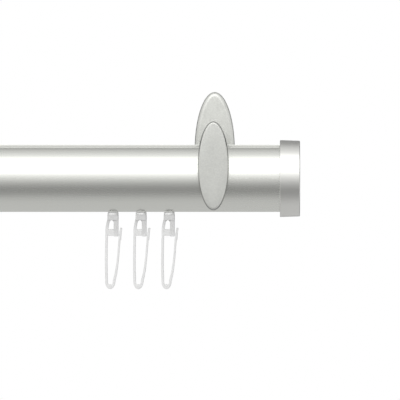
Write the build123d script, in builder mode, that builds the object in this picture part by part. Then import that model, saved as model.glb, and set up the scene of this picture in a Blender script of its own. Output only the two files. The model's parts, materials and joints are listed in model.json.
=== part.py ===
"""An inner-runner curtain rod: a grooved aluminium tube on two clamped wall brackets, with
gliders that run inside the tube and carry pleat hooks. Millimetres, +Z up, +Y to the wall.

The origin is on the wall, in the middle of the four wall screws: the wall is the plane y = 0,
and the room is at -Y. Heights named ..._UP are counted from the tube's axis, and depths called out
from the wall.
"""

import os
from math import atan2, cos, sin

from build123d import *

# Tube: an extrusion with a screw groove in a rail on top and a runner channel below
TUBE_LENGTH = 600.0
TUBE_RADIUS = 15.0
TUBE_WALL = 1.4
WEB = 1.1
SHELF_DROP = 1.5
RAIL_WIDTH = 8.4
GROOVE_WIDTH = 10.6
GROOVE_HEIGHT = 3.2
GROOVE_ROOF = 1.2
GROOVE_MOUTH = 5.2
CHANNEL_WIDTH = 12.4
CHANNEL_HEIGHT = 6.9
SLOT_WIDTH = 4.8
SLOT_LIP = 2.4

# End cap and the plug that carries it
CAP_OVERHANG = 2.0
CAP_TAPER = 0.25
CAP_LENGTH = 8.9
CAP_FLOOR = 1.6
CAP_EDGE_LENGTH = 0.4
CAP_EDGE_DEPTH = 1.2
CAP_CLEARANCE = 0.15
PLUG_FLANGE = 1.5
PLUG_FLANGE_STEP = 0.4
PLUG_LENGTH = 10.0
PLUG_WALL = 1.3
PLUG_FLOOR = 1.5
PLUG_TONGUE = 6.0
PLUG_CLEARANCE = 0.15

# Bracket: base plate and rosette on the wall, arm over the tube, plate in front of it
WALL_DISTANCE = 80.0
BRACKET_INSET = 35.2
ROSETTE_WIDTH = 17.95
ROSETTE_HEIGHT = 52.1
ROSETTE_DEPTH = 7.0
ROSETTE_WALL = 1.2
ROSETTE_FRONT = 1.5
ROSETTE_ROUND = 2.5
ROSETTE_UP = 12.7
ROSETTE_CLEARANCE = 0.25
ROSETTE_BOSS_WIDTH = 5.0
BASE_THICKNESS = 3.5
BASE_INSET = 3.65
WALL_SCREW_INSET = 5.4
WALL_SCREW_RADIUS = 2.25
WALL_SCREW_HEAD_RADIUS = 4.1
ARM_WIDTH = 8.0
ARM_HEIGHT = 6.0
ARM_TOP_ROUND = 2.0
ARM_CLEARANCE = 0.2
SADDLE_LUG = 1.8
SADDLE_ROOT = 1.5
SADDLE_CLEARANCE = 0.15
FRONT_GAP = 0.4
FRONT_WIDTH = 13.6
FRONT_HEIGHT = 39.3
FRONT_THICKNESS = 4.0
FRONT_ROUND = 1.0
FRONT_UP = 5.6
FRONT_RIM = 1.4
FRONT_SEAT_RIM = 0.7
FRONT_POCKET = 2.0
FRONT_PIN_RADIUS = 1.6
FRONT_PIN_RISE = 2.6
FRONT_PIN_LENGTH = 8.0

# Screws, as shank radius; a threaded hole is a thread clearance larger
M4 = 2.0
M3 = 1.5
M2_5 = 1.25
THREAD_CLEARANCE = 0.03
HOLE_CLEARANCE = 0.2
CLAMP_HEAD_RADIUS = 3.3
HEAD_RIM = 0.1
COUNTERSINK = 90.0
CLAMP_TIP_GAP = 0.3
ARM_SCREW_LENGTH = 12.0
ARM_SCREW_HEAD_RADIUS = 3.6
SOCKET_DEPTH = 1.2
SOCKET_SHARE = 0.6
BLIND_HOLE_SPARE = 0.5
NUT_LENGTH = 10.0
NUT_THICKNESS = 2.6
NUT_NECK = 1.2
NUT_NECK_LENGTH = 8.0
NUT_CORNER = 1.5
NUT_CLEARANCE = 0.2

# Gliders: three near each end of the tube, the first one nearest the cap
RUNNERS_PER_END = 3
RUNNER_INSET = 54.8
RUNNER_PITCH = 12.45
RUNNER_CLEARANCE = 0.15
RUNNER_SIDE_PLAY = 0.4
HEAD_LENGTH = 10.0
HEAD_CORNER = 2.0
WING_THICKNESS = 1.8
CROWN_LENGTH = 8.0
CROWN_WIDTH = 5.0
CROWN_HEIGHT = 2.6
CROWN_TAPER = 14.0
NECK_LENGTH = 4.6
NECK_WIDTH = 3.2
COLLAR_RADIUS = 2.4
COLLAR_THICKNESS = 0.9
COLLAR_GAP = 0.3
STEM_RADIUS = 1.3
STEM_LENGTH = 1.2
BUTTON_RADIUS = 1.7
BUTTON_HEIGHT = 0.9

# Pleat hooks: one moulding, which snaps over the glider's button
HOOK_HEAD_WIDTH = 4.85
HOOK_HEAD_DEPTH = 5.2
HOOK_HEAD_HEIGHT = 2.25
HOOK_HEAD_CORNER = 0.6
HOOK_GAP = 0.15
SNAP_CLEARANCE = 0.08
SNAP_PLAY = 0.15
HOOK_LEG_THICKNESS = 2.0
HOOK_ARM_THICKNESS = 3.2
HOOK_ARM_WIDTH = 2.1
HOOK_EYE_SILL = -2.1
# Heights on the hook from here on are counted from the tube's underside
HOOK_ARM_END = -10.9
HOOK_BAND = (-10.6, -7.4)
HOOK_EYE_ARCH = ((0.3, -4.7), (-0.6, -3.6), (-1.5, -4.7))
HOOK_BARB = ((3.4, -8.6), (3.78, -8.6), (3.68, -12.2), (3.1, -12.2))
# The leg's centre line from head to tip, as sideways place, height, width: the ends of its
# arcs, with each arc's middle between them
HOOK_LEG = (
    (-1.80, -2.6, 1.20),
    (-2.20, -5.6, 1.30),
    (-2.72, -11.0, 1.20),
    (-2.98, -19.0, 1.15),
    (-2.92, -26.6, 1.15),
    (-2.62, -29.8, 1.15),
    (-2.00, -32.3, 1.10),
    (-1.10, -33.75, 1.10),
    (-0.20, -32.1, 1.05),
    (0.88, -28.0, 0.95),
    (1.68, -23.4, 0.85),
    (2.28, -18.8, 0.85),
    (2.66, -13.8, 0.85),
    (3.15, -10.4, 0.90),
    (3.62, -7.2, 0.95),
)

# Places that follow from the sizes above
ROD_Y = -WALL_DISTANCE
ROD_Z = -ROSETTE_UP
TUBE_END = TUBE_LENGTH / 2
TUBE_BOTTOM_Z = ROD_Z - TUBE_RADIUS
CAP_RADIUS = TUBE_RADIUS + CAP_OVERHANG
CAP_FACE_RADIUS = CAP_RADIUS - CAP_TAPER
RAIL_TOP_UP = TUBE_RADIUS
SHELF_UP = TUBE_RADIUS - SHELF_DROP
GROOVE_ROOF_UP = SHELF_UP - GROOVE_ROOF
GROOVE_FLOOR_UP = GROOVE_ROOF_UP - GROOVE_HEIGHT
LEDGE_UP = SLOT_LIP - TUBE_RADIUS
CHANNEL_ROOF_UP = LEDGE_UP + CHANNEL_HEIGHT
TUBE_INNER_RADIUS = TUBE_RADIUS - TUBE_WALL
SLOT_MOUTH_UP = -((TUBE_RADIUS**2 - (SLOT_WIDTH / 2) ** 2) ** 0.5)
BASE_HEIGHT = ROSETTE_HEIGHT - 2 * BASE_INSET
WALL_SCREW_PITCH = BASE_HEIGHT - 2 * WALL_SCREW_INSET
ARM_BOTTOM_Z = ROD_Z + RAIL_TOP_UP
ARM_TOP_Z = ARM_BOTTOM_Z + ARM_HEIGHT
ARM_SCREW_Z = ARM_BOTTOM_Z + ARM_HEIGHT / 2
FRONT_PIN_Z = ARM_BOTTOM_Z + FRONT_PIN_RISE
FRONT_BACK = WALL_DISTANCE + TUBE_RADIUS + FRONT_GAP
FRONT_Z = ROD_Z + FRONT_UP
COLLAR_TOP_UP = SLOT_MOUTH_UP - COLLAR_GAP
COLLAR_BOTTOM_UP = COLLAR_TOP_UP - COLLAR_THICKNESS
HOOK_TOP_UP = COLLAR_BOTTOM_UP - HOOK_GAP
BUTTON_TOP_UP = COLLAR_BOTTOM_UP - STEM_LENGTH
BUTTON_BOTTOM_UP = BUTTON_TOP_UP - BUTTON_HEIGHT


def rod_plane(x, outwards=1):
    """A section plane of the tube at x, centred on its axis and facing along outwards times X."""
    return Plane(origin=(x, ROD_Y, ROD_Z), x_dir=(0, outwards, 0), z_dir=(outwards, 0, 0))


def front_plane(out, x=0.0, z=0.0):
    """A plane facing the room, out in front of the wall: its own x is X and its own y is Z."""
    return Plane(origin=(x, -out, z), x_dir=(1, 0, 0), z_dir=(0, -1, 0))


def write_node(builder, name):
    builder.part.label = name
    export_step(builder.part, f"parts/{name}.step")


def hollow_section(plane, clearance=0.0):
    """The tube's inner hollow between the groove's block and the channel's block."""
    with BuildSketch(plane) as hollow:
        Circle(TUBE_INNER_RADIUS - clearance)
        with Locations((0, GROOVE_FLOOR_UP - WEB - clearance)):
            Rectangle(
                GROOVE_WIDTH + 2 * (WEB + clearance),
                TUBE_RADIUS,
                align=(Align.CENTER, Align.MIN),
                mode=Mode.SUBTRACT,
            )
        with Locations((0, CHANNEL_ROOF_UP + WEB + clearance)):
            Rectangle(
                CHANNEL_WIDTH + 2 * (WEB + clearance),
                TUBE_RADIUS,
                align=(Align.CENTER, Align.MAX),
                mode=Mode.SUBTRACT,
            )
    return hollow


def make_rod_tube():
    start = rod_plane(-TUBE_END)
    hollow = hollow_section(start)
    with BuildPart() as rod_tube:
        with BuildSketch(start):
            Circle(TUBE_RADIUS)
            with Locations((0, SHELF_UP)):
                Rectangle(
                    2 * TUBE_RADIUS,
                    TUBE_RADIUS,
                    align=(Align.CENTER, Align.MIN),
                    mode=Mode.SUBTRACT,
                )
                Rectangle(RAIL_WIDTH, RAIL_TOP_UP - SHELF_UP, align=(Align.CENTER, Align.MIN))
        extrude(amount=TUBE_LENGTH)
        extrude(hollow.sketch, amount=TUBE_LENGTH, mode=Mode.SUBTRACT)
        with BuildSketch(start):
            with Locations((0, GROOVE_FLOOR_UP)):
                Rectangle(GROOVE_WIDTH, GROOVE_HEIGHT, align=(Align.CENTER, Align.MIN))
                Rectangle(GROOVE_MOUTH, TUBE_RADIUS, align=(Align.CENTER, Align.MIN))
            with Locations((0, (LEDGE_UP + CHANNEL_ROOF_UP) / 2)):
                Rectangle(CHANNEL_WIDTH, CHANNEL_HEIGHT)
                Rectangle(SLOT_WIDTH, TUBE_RADIUS, align=(Align.CENTER, Align.MAX))
        extrude(amount=TUBE_LENGTH, mode=Mode.SUBTRACT)
    return rod_tube


def make_cap_plug(outwards):
    end = rod_plane(outwards * TUBE_END, outwards)
    lug = hollow_section(end, PLUG_CLEARANCE)
    with BuildSketch(end.offset(PLUG_FLOOR - PLUG_LENGTH)) as pocket:
        add(hollow_section(Plane.XY, PLUG_CLEARANCE + PLUG_WALL).sketch)
    with BuildPart() as cap_plug:
        with BuildSketch(end):
            Circle(TUBE_RADIUS - PLUG_FLANGE_STEP)
        extrude(amount=PLUG_FLANGE)
        extrude(lug.sketch, amount=-PLUG_LENGTH)
        with BuildSketch(end):
            with Locations((0, (LEDGE_UP + CHANNEL_ROOF_UP) / 2)):
                Rectangle(CHANNEL_WIDTH - 2 * PLUG_CLEARANCE, CHANNEL_HEIGHT - 2 * PLUG_CLEARANCE)
        extrude(amount=-PLUG_TONGUE)
        extrude(pocket.sketch, amount=-PLUG_LENGTH, mode=Mode.SUBTRACT)
    return cap_plug


def make_end_cap(outwards):
    outer_face = TUBE_END + PLUG_FLANGE + CAP_FLOOR
    rim = rod_plane(outwards * (outer_face - CAP_LENGTH), outwards)
    bore_depth = CAP_LENGTH - CAP_FLOOR
    with BuildPart() as end_cap:
        with BuildSketch(Plane(origin=rim.origin, x_dir=rim.z_dir, z_dir=rim.x_dir)):
            with BuildLine():
                Polyline(
                    (0, 0),
                    (0, CAP_RADIUS),
                    (CAP_LENGTH - CAP_EDGE_LENGTH, CAP_FACE_RADIUS),
                    (CAP_LENGTH, CAP_FACE_RADIUS - CAP_EDGE_DEPTH),
                    (CAP_LENGTH, 0),
                    close=True,
                )
            make_face()
        revolve(axis=Axis(rim.origin, rim.z_dir))
        with BuildSketch(rim):
            Circle(TUBE_RADIUS + CAP_CLEARANCE)
            with Locations((0, 0)):
                Rectangle(
                    RAIL_WIDTH + 2 * CAP_CLEARANCE,
                    RAIL_TOP_UP + CAP_CLEARANCE,
                    align=(Align.CENTER, Align.MIN),
                )
        extrude(amount=bore_depth, mode=Mode.SUBTRACT)
    return end_cap


def arm_section(plane, clearance=0.0):
    """The arm's outline, flat below and rounded on top, with its foot on the tube's rail."""
    with BuildSketch(plane) as outline:
        with Locations((0, ARM_BOTTOM_Z - clearance)):
            Rectangle(
                ARM_WIDTH + 2 * clearance,
                ARM_HEIGHT + 2 * clearance,
                align=(Align.CENTER, Align.MIN),
            )
        fillet(outline.vertices().group_by(Axis.Y)[-1], ARM_TOP_ROUND + clearance)
    return outline


def make_wall_base(x):
    with BuildPart() as wall_base:
        with BuildSketch(front_plane(BASE_THICKNESS, x)):
            Ellipse(ROSETTE_WIDTH / 2 - ROSETTE_WALL - ROSETTE_CLEARANCE, BASE_HEIGHT / 2)
        extrude(amount=-BASE_THICKNESS)
        with Locations(front_plane(BASE_THICKNESS, x)):
            with GridLocations(0, WALL_SCREW_PITCH, 1, 2):
                CounterSinkHole(
                    WALL_SCREW_RADIUS, WALL_SCREW_HEAD_RADIUS, counter_sink_angle=COUNTERSINK
                )
        with Locations(Plane(origin=(x, 0, ARM_SCREW_Z), x_dir=(1, 0, 0), z_dir=(0, 1, 0))):
            CounterSinkHole(
                M4 + HOLE_CLEARANCE,
                ARM_SCREW_HEAD_RADIUS + HOLE_CLEARANCE,
                counter_sink_angle=COUNTERSINK,
            )
    return wall_base


def make_rosette(x):
    half_width, half_height = ROSETTE_WIDTH / 2, ROSETTE_HEIGHT / 2
    base_bottom = -BASE_HEIGHT / 2
    boss_height = half_height - BASE_HEIGHT / 2 - ROSETTE_CLEARANCE
    grub_out = BASE_THICKNESS / 2
    hole = arm_section(front_plane(0, x), ARM_CLEARANCE)
    with BuildPart() as rosette:
        with BuildSketch(front_plane(0, x)):
            Ellipse(half_width, half_height)
        extrude(amount=ROSETTE_DEPTH)
        fillet(rosette.faces().sort_by(Axis.Y)[0].edges(), ROSETTE_ROUND)
        with BuildSketch(front_plane(0, x)):
            Ellipse(half_width - ROSETTE_WALL, half_height - ROSETTE_WALL)
            with Locations((0, base_bottom - ROSETTE_CLEARANCE)):
                Rectangle(
                    ROSETTE_BOSS_WIDTH,
                    boss_height,
                    align=(Align.CENTER, Align.MAX),
                    mode=Mode.SUBTRACT,
                )
        extrude(amount=ROSETTE_DEPTH - ROSETTE_FRONT, mode=Mode.SUBTRACT)
        extrude(hole.sketch, amount=ROSETTE_DEPTH, mode=Mode.SUBTRACT)
        with BuildSketch(Plane(origin=(x, -grub_out, -half_height))):
            Circle(M2_5 + THREAD_CLEARANCE)
        extrude(amount=boss_height, mode=Mode.SUBTRACT)
    return rosette


def make_screw(face, shank_radius, length, head_radius=None):
    """A screw with a hexagon socket in the plane face, pointing the other way.

    With a head_radius it is countersunk, a right-angled cone under a thin rim.
    """
    head = [(shank_radius, 0)]
    if head_radius:
        cone_end = head_radius - shank_radius + HEAD_RIM
        head = [(head_radius, 0), (head_radius, -HEAD_RIM), (shank_radius, -cone_end)]
    side = Plane(origin=face.origin, x_dir=face.x_dir, z_dir=-face.y_dir)
    with BuildPart() as screw:
        with BuildSketch(side):
            with BuildLine():
                Polyline(
                    (0, 0),
                    *head,
                    (shank_radius, -length),
                    (0, -length),
                    close=True,
                )
            make_face()
        revolve(axis=Axis(face.origin, face.z_dir))
        with BuildSketch(face):
            RegularPolygon(shank_radius * SOCKET_SHARE, 6)
        extrude(amount=-SOCKET_DEPTH, mode=Mode.SUBTRACT)
    return screw


def make_arm(x):
    length = FRONT_BACK - BASE_THICKNESS
    section = arm_section(front_plane(BASE_THICKNESS, x))
    lug_middle = (RAIL_WIDTH + SADDLE_LUG) / 2 + SADDLE_CLEARANCE
    lug_bottom = ROD_Z + SHELF_UP + SADDLE_CLEARANCE
    with BuildPart() as arm:
        extrude(section.sketch, amount=length)
        with BuildSketch(Plane(origin=(x, ROD_Y, lug_bottom))):
            with GridLocations(0, 2 * lug_middle, 1, 2):
                Rectangle(ARM_WIDTH, SADDLE_LUG)
        extrude(amount=ARM_BOTTOM_Z + SADDLE_ROOT - lug_bottom)
        with Locations((x, ROD_Y, ARM_TOP_Z)):
            CounterSinkHole(
                M4 + HOLE_CLEARANCE,
                CLAMP_HEAD_RADIUS + HOLE_CLEARANCE,
                counter_sink_angle=COUNTERSINK,
            )
        with BuildSketch(front_plane(BASE_THICKNESS, x, ARM_SCREW_Z)):
            Circle(M4 + THREAD_CLEARANCE)
        extrude(
            amount=ARM_SCREW_LENGTH - BASE_THICKNESS + BLIND_HOLE_SPARE, mode=Mode.SUBTRACT
        )
        with BuildSketch(front_plane(FRONT_BACK, x, FRONT_PIN_Z)):
            Circle(FRONT_PIN_RADIUS + THREAD_CLEARANCE)
        extrude(amount=-FRONT_PIN_LENGTH - BLIND_HOLE_SPARE, mode=Mode.SUBTRACT)
        with BuildSketch(Plane(origin=(x, -FRONT_BACK + FRONT_PIN_LENGTH / 2, ARM_TOP_Z))):
            Circle(M3 + THREAD_CLEARANCE)
        extrude(amount=FRONT_PIN_Z - ARM_TOP_Z, mode=Mode.SUBTRACT)
    return arm


def make_slot_nut(x):
    top_z = ROD_Z + GROOVE_ROOF_UP
    with BuildPart() as slot_nut:
        with BuildSketch(Plane(origin=(x, ROD_Y, top_z))):
            RectangleRounded(NUT_LENGTH, GROOVE_WIDTH - 2 * NUT_CLEARANCE, NUT_CORNER)
        extrude(amount=-NUT_THICKNESS)
        with BuildSketch(Plane(origin=(x, ROD_Y, top_z))):
            Rectangle(NUT_NECK_LENGTH, GROOVE_MOUTH - 2 * NUT_CLEARANCE)
        extrude(amount=NUT_NECK)
        with Locations((x, ROD_Y, top_z + NUT_NECK)):
            Hole(M4 + THREAD_CLEARANCE)
    return slot_nut


def make_front_plate(x):
    seat = arm_section(front_plane(FRONT_BACK, x), FRONT_SEAT_RIM)
    with BuildPart() as front_plate:
        with BuildSketch(front_plane(FRONT_BACK, x, FRONT_Z)):
            Ellipse(FRONT_WIDTH / 2, FRONT_HEIGHT / 2)
        extrude(amount=FRONT_THICKNESS)
        fillet(front_plate.faces().sort_by(Axis.Y)[0].edges(), FRONT_ROUND)
        with BuildSketch(front_plane(FRONT_BACK, x)):
            with Locations((0, FRONT_Z)):
                Ellipse(FRONT_WIDTH / 2 - FRONT_RIM, FRONT_HEIGHT / 2 - FRONT_RIM)
            add(seat.sketch_local, mode=Mode.SUBTRACT)
        extrude(amount=FRONT_POCKET, mode=Mode.SUBTRACT)
        with BuildSketch(front_plane(FRONT_BACK, x, FRONT_PIN_Z)):
            Circle(FRONT_PIN_RADIUS)
        extrude(amount=-FRONT_PIN_LENGTH)
    return front_plate


def make_runner(x):
    wing_bottom_z = ROD_Z + LEDGE_UP + RUNNER_CLEARANCE
    with BuildPart() as runner:
        with BuildSketch(Plane(origin=(x, ROD_Y, wing_bottom_z))) as wings:
            Rectangle(HEAD_LENGTH, CHANNEL_WIDTH - 2 * RUNNER_SIDE_PLAY)
            chamfer(wings.vertices(), HEAD_CORNER)
        extrude(amount=WING_THICKNESS)
        with BuildSketch(Plane(origin=(x, ROD_Y, wing_bottom_z + WING_THICKNESS))):
            Rectangle(CROWN_LENGTH, CROWN_WIDTH)
        extrude(amount=CROWN_HEIGHT, taper=CROWN_TAPER)
        with BuildSketch(Plane(origin=(x, ROD_Y, ROD_Z + COLLAR_TOP_UP))):
            SlotOverall(NECK_LENGTH, NECK_WIDTH)
        extrude(amount=wing_bottom_z - ROD_Z - COLLAR_TOP_UP)
        with BuildSketch(Plane(origin=(x, ROD_Y, ROD_Z), x_dir=(1, 0, 0), z_dir=(0, -1, 0))):
            with BuildLine():
                Polyline(
                    (0, COLLAR_TOP_UP),
                    (COLLAR_RADIUS, COLLAR_TOP_UP),
                    (COLLAR_RADIUS, COLLAR_BOTTOM_UP),
                    (STEM_RADIUS, COLLAR_BOTTOM_UP),
                    (STEM_RADIUS, BUTTON_TOP_UP),
                    (BUTTON_RADIUS, BUTTON_TOP_UP),
                    (BUTTON_RADIUS, BUTTON_BOTTOM_UP),
                    (0, BUTTON_BOTTOM_UP),
                    close=True,
                )
            make_face()
        revolve(axis=Axis((x, ROD_Y, 0), (0, 0, 1)))
    return runner


def leg_edges():
    """The two long edges of the hook's leg: half its width each side of its centre line."""
    left, right = [], []
    for i, (px, pz, width) in enumerate(HOOK_LEG):
        before = HOOK_LEG[max(i - 1, 0)]
        after = HOOK_LEG[min(i + 1, len(HOOK_LEG) - 1)]
        heading = atan2(after[1] - before[1], after[0] - before[0])
        dx, dz = -sin(heading) * width / 2, cos(heading) * width / 2
        left.append((px + dx, pz + dz))
        right.append((px - dx, pz - dz))
    return left, right


def make_hook(x):
    leg_out = WALL_DISTANCE - HOOK_LEG_THICKNESS / 2
    arm_out = WALL_DISTANCE - HOOK_ARM_THICKNESS / 2
    head_bottom_up = HOOK_TOP_UP - HOOK_HEAD_HEIGHT
    hook_top = HOOK_TOP_UP + TUBE_RADIUS
    arm_right = HOOK_HEAD_WIDTH / 2
    arm_left = arm_right - HOOK_ARM_WIDTH
    band_bottom, band_top = HOOK_BAND
    band_left = HOOK_LEG[2][0]
    inner, outer = leg_edges()
    with BuildPart() as hook:
        with BuildSketch(Plane(origin=(x, ROD_Y, ROD_Z + head_bottom_up))) as head:
            Rectangle(HOOK_HEAD_WIDTH, HOOK_HEAD_DEPTH)
            chamfer(head.vertices(), HOOK_HEAD_CORNER)
        extrude(amount=HOOK_HEAD_HEIGHT)
        with BuildSketch(front_plane(leg_out, x, TUBE_BOTTOM_Z)):
            with BuildLine():
                for edge in (inner, outer):
                    for i in range(0, len(edge) - 1, 2):
                        ThreePointArc(*edge[i : i + 3])
                Line(inner[0], outer[0])
                Line(inner[-1], outer[-1])
            make_face()
            with BuildLine():
                Polyline(*HOOK_BARB, close=True)
            make_face()
            with BuildLine():
                Polyline(
                    (band_left, band_bottom),
                    (arm_right, band_bottom),
                    (arm_right, hook_top),
                    (HOOK_LEG[0][0], hook_top),
                    HOOK_LEG[1][:2],
                    close=True,
                )
            make_face()
            with BuildLine():
                Polyline(
                    HOOK_EYE_ARCH[2],
                    (HOOK_EYE_SILL, band_top),
                    (arm_left, band_top),
                    HOOK_EYE_ARCH[0],
                )
                ThreePointArc(*HOOK_EYE_ARCH)
            make_face(mode=Mode.SUBTRACT)
        extrude(amount=HOOK_LEG_THICKNESS)
        with BuildSketch(front_plane(arm_out, x, TUBE_BOTTOM_Z)):
            with Locations((arm_right, HOOK_ARM_END)):
                Rectangle(
                    HOOK_ARM_WIDTH,
                    hook_top - HOOK_ARM_END,
                    align=(Align.MAX, Align.MIN),
                )
        extrude(amount=HOOK_ARM_THICKNESS)
        with Locations((x, ROD_Y, ROD_Z + HOOK_TOP_UP)):
            Hole(STEM_RADIUS + SNAP_CLEARANCE, depth=HOOK_TOP_UP - BUTTON_TOP_UP)
        with BuildSketch(Plane(origin=(x, ROD_Y, ROD_Z + head_bottom_up))):
            Circle(BUTTON_RADIUS + SNAP_PLAY)
        extrude(amount=BUTTON_TOP_UP + SNAP_PLAY - head_bottom_up, mode=Mode.SUBTRACT)
    return hook


os.makedirs("parts", exist_ok=True)

write_node(make_rod_tube(), "rod_tube")

for side, outwards in (("left", -1), ("right", 1)):
    write_node(make_cap_plug(outwards), f"{side}_cap_plug")
    write_node(make_end_cap(outwards), f"{side}_end_cap")

    bracket_x = outwards * (TUBE_END - BRACKET_INSET)
    write_node(make_wall_base(bracket_x), f"{side}_wall_base")
    write_node(make_rosette(bracket_x), f"{side}_wall_rosette")
    write_node(make_arm(bracket_x), f"{side}_arm")
    write_node(make_slot_nut(bracket_x), f"{side}_slot_nut")
    write_node(make_front_plate(bracket_x), f"{side}_front_plate")

    clamp_tip_z = ROD_Z + GROOVE_FLOOR_UP + CLAMP_TIP_GAP
    clamp_face = Plane(origin=(bracket_x, ROD_Y, ARM_TOP_Z))
    clamp_screw = make_screw(clamp_face, M4, ARM_TOP_Z - clamp_tip_z, CLAMP_HEAD_RADIUS)
    write_node(clamp_screw, f"{side}_clamp_screw")

    arm_screw_face = Plane(origin=(bracket_x, 0, ARM_SCREW_Z), x_dir=(1, 0, 0), z_dir=(0, 1, 0))
    arm_screw = make_screw(arm_screw_face, M4, ARM_SCREW_LENGTH, ARM_SCREW_HEAD_RADIUS)
    write_node(arm_screw, f"{side}_arm_screw")

    plate_grub_face = Plane(origin=(bracket_x, -FRONT_BACK + FRONT_PIN_LENGTH / 2, ARM_TOP_Z))
    plate_grub_length = ARM_TOP_Z - FRONT_PIN_Z - FRONT_PIN_RADIUS
    write_node(make_screw(plate_grub_face, M3, plate_grub_length), f"{side}_plate_grub_screw")

    rosette_grub_face = Plane(
        origin=(bracket_x, -BASE_THICKNESS / 2, -ROSETTE_HEIGHT / 2),
        x_dir=(1, 0, 0),
        z_dir=(0, 0, -1),
    )
    rosette_grub_length = ROSETTE_HEIGHT / 2 - BASE_HEIGHT / 2
    write_node(
        make_screw(rosette_grub_face, M2_5, rosette_grub_length),
        f"{side}_rosette_grub_screw",
    )

    for number in range(1, RUNNERS_PER_END + 1):
        runner_x = outwards * (TUBE_END - RUNNER_INSET - (number - 1) * RUNNER_PITCH)
        write_node(make_runner(runner_x), f"{side}_runner_{number}")
        write_node(make_hook(runner_x), f"{side}_hook_{number}")
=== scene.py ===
"""Finished surfaces, materials and studio for an inner-runner curtain rod.

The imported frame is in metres, +Z up and +Y to the wall. Shapes here are worked out in
millimetres in the same axes, and scaled once, where a mesh is made.
"""

import json
from math import radians, sqrt

import bmesh
import bpy
import numpy as np
from mathutils import Matrix, Vector
from mathutils.geometry import tessellate_polygon

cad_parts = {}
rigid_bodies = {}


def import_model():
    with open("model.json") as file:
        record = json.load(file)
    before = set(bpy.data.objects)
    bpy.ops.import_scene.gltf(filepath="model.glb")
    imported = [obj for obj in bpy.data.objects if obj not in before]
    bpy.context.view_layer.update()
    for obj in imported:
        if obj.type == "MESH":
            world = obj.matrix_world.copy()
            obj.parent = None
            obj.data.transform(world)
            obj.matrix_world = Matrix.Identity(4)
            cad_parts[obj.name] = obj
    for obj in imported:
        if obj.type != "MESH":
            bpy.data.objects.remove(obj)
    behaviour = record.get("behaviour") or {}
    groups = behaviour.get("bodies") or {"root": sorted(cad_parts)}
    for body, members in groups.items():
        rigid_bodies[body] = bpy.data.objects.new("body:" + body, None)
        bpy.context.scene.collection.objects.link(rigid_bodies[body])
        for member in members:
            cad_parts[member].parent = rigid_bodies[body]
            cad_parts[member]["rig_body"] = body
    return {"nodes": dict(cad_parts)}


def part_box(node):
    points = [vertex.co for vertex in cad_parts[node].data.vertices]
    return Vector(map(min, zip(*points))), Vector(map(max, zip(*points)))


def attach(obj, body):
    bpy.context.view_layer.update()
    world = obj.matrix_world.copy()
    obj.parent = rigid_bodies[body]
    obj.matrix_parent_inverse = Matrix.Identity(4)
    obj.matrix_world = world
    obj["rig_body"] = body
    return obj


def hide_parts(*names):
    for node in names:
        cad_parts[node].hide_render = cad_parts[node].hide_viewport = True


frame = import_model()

bl_info = {
    "name": "Inner-Runner Curtain Rod",
    "version": (1, 0, 0),
    "blender": (4, 5, 0),
    "location": "3D View > Sidebar > Curtain Rod",
    "description": "Surfaces, finishes and studio of a curtain rod with gliders inside its tube",
    "category": "Add Mesh",
}

MM = 0.001
SMOOTH_ANGLE = 38.0  # edges that turn by more stay sharp

# Places read from the frame
CAP_LOW, CAP_HIGH = (np.array(corner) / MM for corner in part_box("right_end_cap"))
TUBE_LOW, TUBE_HIGH = (np.array(corner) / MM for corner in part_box("rod_tube"))
ROD_Y = (TUBE_LOW[1] + TUBE_HIGH[1]) / 2
ROD_Z = (CAP_LOW[2] + CAP_HIGH[2]) / 2
TUBE_RADIUS = (TUBE_HIGH[1] - TUBE_LOW[1]) / 2
TUBE_END = TUBE_HIGH[0]
TUBE_BOTTOM = ROD_Z - TUBE_RADIUS
CAP_RADIUS = (CAP_HIGH[2] - CAP_LOW[2]) / 2
CAP_RIM = CAP_LOW[0]
CAP_FACE = CAP_HIGH[0]
SIDES = {"left": -1, "right": 1}

# How finely curved stretches are cut, in points or rings
CORNER_STEPS = 5
ROUND_STEPS = 64
FACE_STEPS = 14
EDGE_STEPS = 12

# Tube profile, in heights and half widths from its axis
SHELF_UP = 13.5
RAIL_HALF = 4.2
GROOVE = (9.1, 12.3, 5.3, 2.6)  # floor, roof, half width, half of its mouth
CHANNEL = (-12.6, -5.7, 6.2)  # ledges beside the slot, roof, half width
SLOT_HALF = 2.4
TUBE_WALL = 1.4
WEB = 1.1
TUBE_EDGE = 0.18
ARC_STEPS = 90
TUBE_STATIONS = 25

# End cap
CAP_TAPER = 0.25
CAP_SHOULDER = (0.3, 0.6)  # along the rod, across it
CAP_DOME = 0.05
CAP_BORE = 15.15
CAP_BORE_RAIL = 4.35  # half width where the bore goes round the rail
CAP_FLOOR = 1.6
CAP_LIP = 0.22
CAP_STEPS = 192
CAP_SIDE_STEPS = 8
CAP_LIP_STEPS = 6
CAP_MIDDLE = 0.05  # share of the face that one flat polygon closes
FLOOR_SHARES = (1, 0.5, 0.02)  # rings of the bore's floor, by its radius

# Rosette and front plate, both ellipses, in heights from the frame's origin and distances out
# from the wall
OVAL_STEPS = 160
ROSETTE_STEPS = (14, 12)  # over its edge, across its front
ROSETTE_HALF = (8.975, 26.05)
ROSETTE_DEPTH = 7.0
ROSETTE_FOOT = (0.1, 0.12)  # chamfer at the wall: inwards, out
ROSETTE_ROUND = 2.1
ROSETTE_CROWN = 0.6
ROSETTE_WALL = 1.2
ROSETTE_FRONT = 1.5
ARM_HOLE = (5.3, 4.2, 3.2)  # height, half width, half height
ARM_HOLE_POWERS = (4, 20)  # of its upper and of its lower half
ARM_HOLE_FLARE = (0.02, 0.15)  # share of its size, depth
BOSS = (2.5, -25.6, -22.65)  # half width, bottom, top
BOSS_ROUND = (0.12, 0.1)  # corners, ends
GRUB_HOLE = (1.28, -1.75)  # radius, place along Y
GRUB_PAST = (2.0, 1.0)  # how far its drill goes past the boss, below and above
GRUB_STEPS = 40
PLATE_HALF = (6.92, 19.65)
PLATE_UP = -7.1
PLATE_BACK = 95.4
PLATE_THICKNESS = 4.0
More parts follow.
